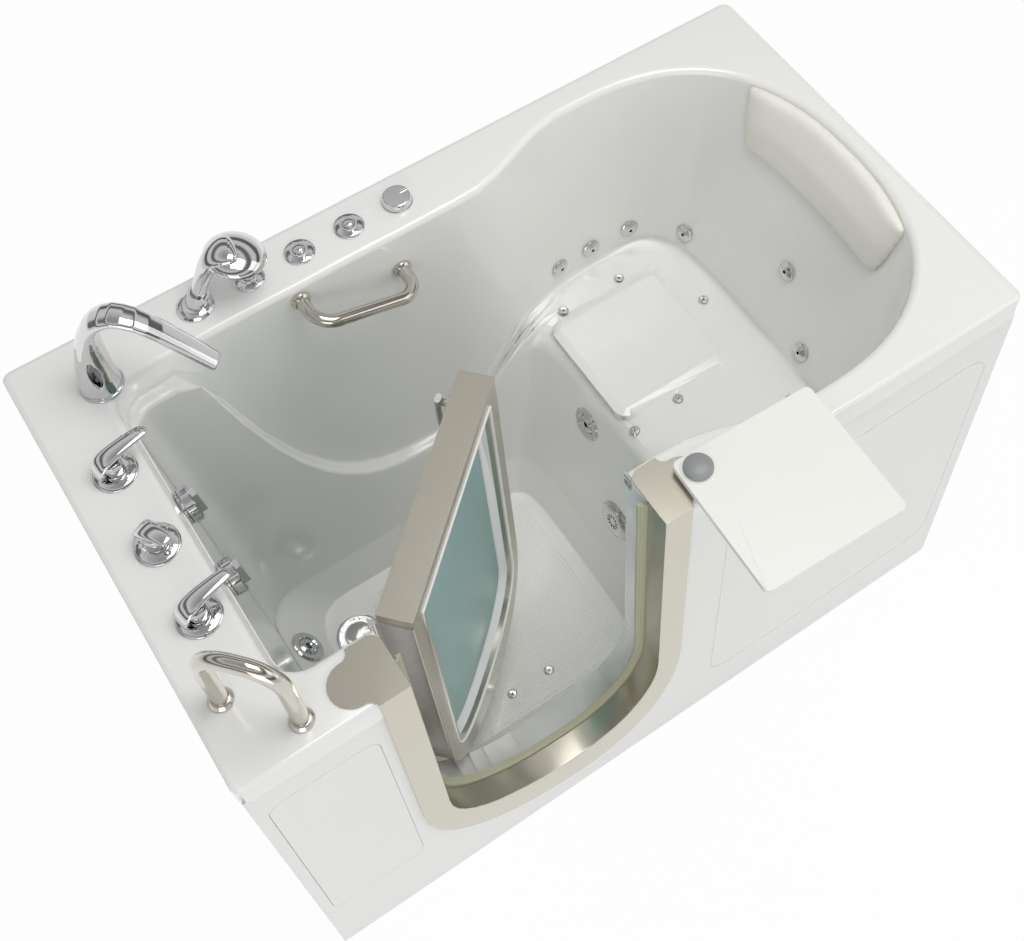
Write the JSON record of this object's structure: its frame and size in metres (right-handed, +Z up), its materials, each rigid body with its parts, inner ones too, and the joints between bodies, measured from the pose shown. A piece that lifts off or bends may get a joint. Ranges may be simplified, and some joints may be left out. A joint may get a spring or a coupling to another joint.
{
  "type": "walk-in bathtub",
  "caption": "White walk-in soaking tub with an inward-opening glazed steel side door, moulded seat, jets, deck taps, hand shower, head cushion and a swivel tray.",
  "frame": {"origin": "centre of the tub's footprint, on the floor", "axes": "+X along the length towards the seat end, -Y towards the apron with the door, +Z up"},
  "size_m": [1.346, 0.9389, 1.105],
  "materials": {
    "acrylic_white": "glossy moulded acrylic",
    "apron_white": "glossy sheet",
    "galvanised_frame": "galvanised tube",
    "rubber_feet": "matt",
    "brushed_steel": "warm brushed stainless steel",
    "seal_rubber": "pale soft seal",
    "steel_hinge": "satin stainless steel",
    "frosted_glass": "frosted toughened glass",
    "gasket_white": "white glazing strip",
    "tray_white": "off-white moulded tray",
    "knob_grey": "grey turned knob",
    "headrest_cream": "cream skinned foam",
    "satin_chrome": "polished warm nickel tube",
    "chrome": "polished chrome",
    "pipe_grey": "plain pipe",
    "pump_black": "black moulding"
  },
  "bodies": {
    "tub": {"tub_shell": "acrylic_white", "front_apron": "apron_white", "access_panel": "apron_white", "toe_strip": "apron_white", "base_frame": "galvanised_frame", "frame_posts": "galvanised_frame", "levelling_feet": "rubber_feet", "door_surround": "brushed_steel", "left_jamb_cap": "brushed_steel", "right_jamb_cap": "brushed_steel", "frame_seal": "seal_rubber", "hinge_jamb_leaf": "steel_hinge", "latch_strike": "steel_hinge", "tray_post": "steel_hinge", "headrest": "headrest_cream", "grab_rail": "satin_chrome", "deck_handle": "satin_chrome", "spout": "chrome", "shower_holder": "chrome", "hot_valve": "chrome", "cold_valve": "chrome", "diverter_valve": "chrome", "button_bezels": "chrome", "air_dial_base": "chrome", "waste_controls": "chrome", "drain_bodies": "chrome", "waste_pipes": "pipe_grey", "micro_jets": "chrome", "hydro_jet_bodies": "chrome", "suction_cover": "chrome", "suction_pipe": "pipe_grey", "air_injectors": "chrome", "water_pump": "pump_black", "pressure_pipe": "pipe_grey", "air_blower": "pump_black", "air_pipe": "pipe_grey"},
    "door": {"door_frame": "brushed_steel", "door_glass": "frosted_glass", "glass_gasket": "gasket_white", "hinge_door_leaf": "steel_hinge"},
    "door_lever": {"latch_handle": "steel_hinge"},
    "door_bolt": {"latch_bolt": "steel_hinge"},
    "tray": {"swivel_tray": "tray_white", "tray_knob": "knob_grey"},
    "shower": {"hand_shower": "chrome"},
    "hot_tap": {"hot_lever": "chrome"},
    "cold_tap": {"cold_lever": "chrome"},
    "diverter": {"diverter_knob": "chrome"},
    "button_1": {"push_button_1": "chrome"},
    "button_2": {"push_button_2": "chrome"},
    "button_3": {"push_button_3": "chrome"},
    "dial": {"air_dial": "chrome"},
    "waste_handle_1": {"waste_knob_1": "chrome"},
    "waste_handle_2": {"waste_knob_2": "chrome"},
    "stopper_1": {"drain_stopper_1": "chrome"},
    "stopper_2": {"drain_stopper_2": "chrome"},
    "foot_nozzle": {"foot_jet_nozzle": "chrome"},
    "seat_nozzle": {"seat_jet_nozzle": "chrome"},
    "side_nozzle": {"side_jet_nozzle": "chrome"}
  },
  "joints": [
    {"name": "door_hinge", "type": "hinge", "parent": "tub", "child": "door", "pos_m": [-0.41, -0.266, 0.6], "axis": [0, 0, 1], "range_deg": [-42, 43]},
    {"name": "latch_turn", "type": "hinge", "parent": "door", "child": "door_lever", "pos_m": [-0.14076, -0.03299, 0.889], "axis": [-0.6691, 0.7431, 0], "range_deg": [0, 90]},
    {"name": "bolt_slide", "type": "slide", "parent": "door", "child": "door_bolt", "axis": [0.7431, 0.6691, 0], "range_m": [0, 0.009]},
    {"name": "tray_swivel", "type": "hinge", "parent": "tub", "child": "tray", "pos_m": [0.079, -0.346, 0.922], "axis": [0, 0, 1], "range_deg": [-90, 90]},
    {"name": "hot_turn", "type": "hinge", "parent": "tub", "child": "hot_tap", "pos_m": [-0.5986, 0.132, 0.91], "axis": [0, 0, 1], "range_deg": [0, 90]},
    {"name": "cold_turn", "type": "hinge", "parent": "tub", "child": "cold_tap", "pos_m": [-0.5986, -0.13434, 0.91], "axis": [0, 0, 1], "range_deg": [-90, 0]},
    {"name": "diverter_turn", "type": "hinge", "parent": "tub", "child": "diverter", "pos_m": [-0.5986, -0.006, 0.91], "axis": [0, 0, 1], "range_deg": [-60, 60]},
    {"name": "dial_turn", "type": "hinge", "parent": "tub", "child": "dial", "pos_m": [-0.022, 0.324, 0.91], "axis": [0, 0, 1], "range_deg": [0, 270]},
    {"name": "press_1", "type": "slide", "parent": "tub", "child": "button_1", "axis": [0, 0, -1], "range_m": [0, 0.003], "stiffness_N_per_m": 600, "springref_m": -0.001},
    {"name": "press_2", "type": "slide", "parent": "tub", "child": "button_2", "axis": [0, 0, -1], "range_m": [0, 0.003], "stiffness_N_per_m": 600, "springref_m": -0.001},
    {"name": "press_3", "type": "slide", "parent": "tub", "child": "button_3", "axis": [0, 0, -1], "range_m": [0, 0.003], "stiffness_N_per_m": 600, "springref_m": -0.001},
    {"name": "shower_lift", "type": "slide", "parent": "tub", "child": "shower", "axis": [0.3869, -0.0544, 0.9205], "range_m": [0, 0.06]},
    {"name": "waste_turn_1", "type": "hinge", "parent": "tub", "child": "waste_handle_1", "pos_m": [-0.54448, -0.082, 0.86], "axis": [0.995, 0, 0.0995], "range_deg": [0, 90]},
    {"name": "stopper_lift_1", "type": "slide", "parent": "tub", "child": "stopper_1", "axis": [0, 0, 1], "range_m": [0, 0.0081]},
    {"name": "waste_turn_2", "type": "hinge", "parent": "tub", "child": "waste_handle_2", "pos_m": [-0.54448, 0.054, 0.86], "axis": [0.995, 0, 0.0995], "range_deg": [0, 90]},
    {"name": "stopper_lift_2", "type": "slide", "parent": "tub", "child": "stopper_2", "axis": [0, 0, 1], "range_m": [0, 0.0081]},
    {"name": "foot_aim", "type": "hinge", "parent": "tub", "child": "foot_nozzle", "pos_m": [-0.46425, 0.1, 0.1085], "axis": [0.7071, 0, 0.7071], "range_deg": [-150, 150]},
    {"name": "seat_aim", "type": "hinge", "parent": "tub", "child": "seat_nozzle", "pos_m": [0.15345, 0.062, 0.396], "axis": [-0.9821, -0.0035, 0.1883], "range_deg": [-150, 150]},
    {"name": "side_aim", "type": "hinge", "parent": "tub", "child": "side_nozzle", "pos_m": [0.15061, -0.15, 0.386], "axis": [-0.9816, 0.0288, 0.1888], "range_deg": [-150, 150]}
  ],
  "couplings": [
    {"joint": "bolt_slide", "follows": "latch_turn", "m_per_rad": 0.00572},
    {"joint": "stopper_lift_1", "follows": "waste_turn_1", "m_per_rad": 0.005093},
    {"joint": "stopper_lift_2", "follows": "waste_turn_2", "m_per_rad": 0.005093}
  ]
}
